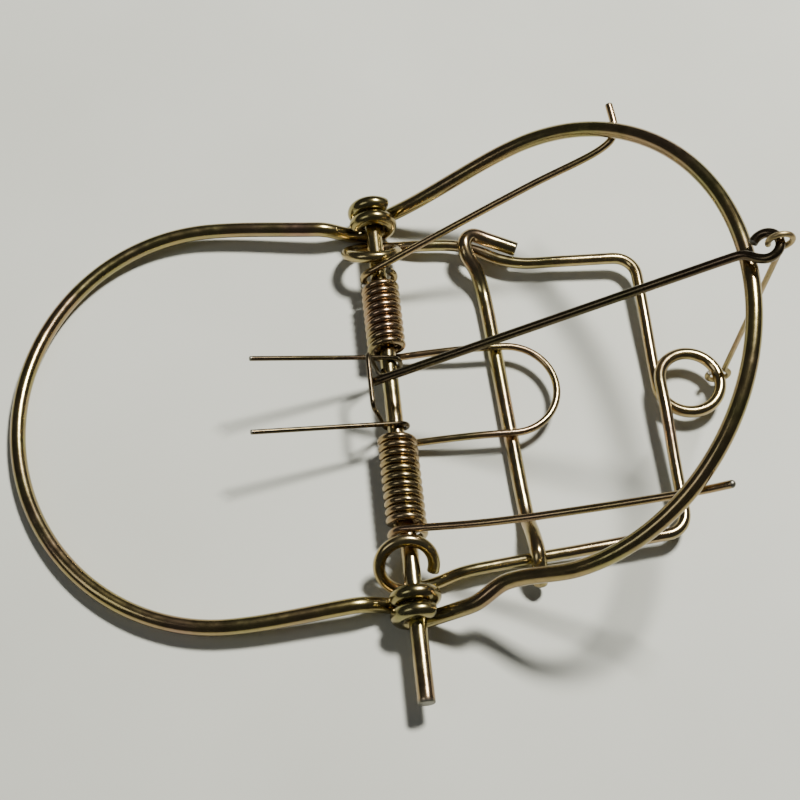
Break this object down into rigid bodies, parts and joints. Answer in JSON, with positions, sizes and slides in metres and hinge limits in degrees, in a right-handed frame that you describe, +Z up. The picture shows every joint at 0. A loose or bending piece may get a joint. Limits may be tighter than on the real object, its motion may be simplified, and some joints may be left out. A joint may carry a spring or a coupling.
{
  "type": "snap mouse trap",
  "caption": "Snap trap of bent, plated steel wire: torsion coils on an axle drive a hinged striking jaw onto a flat rest jaw, held set by a sear rod, a link and a trigger.",
  "frame": {"origin": "middle of the set trap's footprint (the centre of its bounding box in plan), on the ground it stands on", "axes": "+X runs from the rest jaw's far end towards the base frame's loop and the link; +Y along the axle towards its short rear end, so the long bare end of the axle points along -Y; +Z up"},
  "size_m": [0.1628, 0.1242, 0.0635],
  "materials": {
    "plated_wire": "bright yellow zinc plating with pink and green tints",
    "plated_dark": "darker yellow zinc plating on thin wire",
    "spring_steel": "yellow zinc plated spring wire",
    "link_olive": "dull olive yellow zinc plating"
  },
  "bodies": {
    "base": {"base_frame": "plated_wire", "cross_bar": "plated_wire", "axle_rod": "plated_wire", "spring_coils": "spring_steel"},
    "striker": {"striking_jaw": "plated_wire", "rear_spring_leg": "spring_steel", "front_spring_leg": "spring_steel"},
    "rest": {"rest_jaw": "plated_wire"},
    "trigger": {"trigger_wire": "plated_dark"},
    "link": {"link_wire": "link_olive"},
    "sear": {"sear_rod": "plated_dark"}
  },
  "joints": [
    {"name": "striker_swing", "type": "hinge", "parent": "base", "child": "striker", "pos_m": [0.00335, 0.00733, 0.00581], "axis": [0, -1, 0], "range_deg": [0, 145]},
    {"name": "rest_jaw_drop", "type": "hinge", "parent": "base", "child": "rest", "pos_m": [0.00335, 0.00733, 0.00581], "axis": [0, -1, 0], "range_deg": [0, 25]},
    {"name": "trigger_press", "type": "hinge", "parent": "base", "child": "trigger", "pos_m": [0.00335, 0.00863, 0.00581], "axis": [0, -1, 0], "range_deg": [0, 18]},
    {"name": "link_swing", "type": "hinge", "parent": "base", "child": "link", "pos_m": [0.07829, 0.00883, 0.0047], "axis": [0, 1, 0], "range_deg": [0, 92.5]},
    {"name": "sear_swing", "type": "hinge", "parent": "link", "child": "sear", "pos_m": [0.07782, 0.00883, 0.06044], "axis": [0, 1, 0], "range_deg": [0, 119]}
  ],
  "couplings": [
    {"joint": "link_swing", "follows": "striker_swing", "ratio": 0.6379},
    {"joint": "sear_swing", "follows": "striker_swing", "ratio": 0.8206}
  ]
}
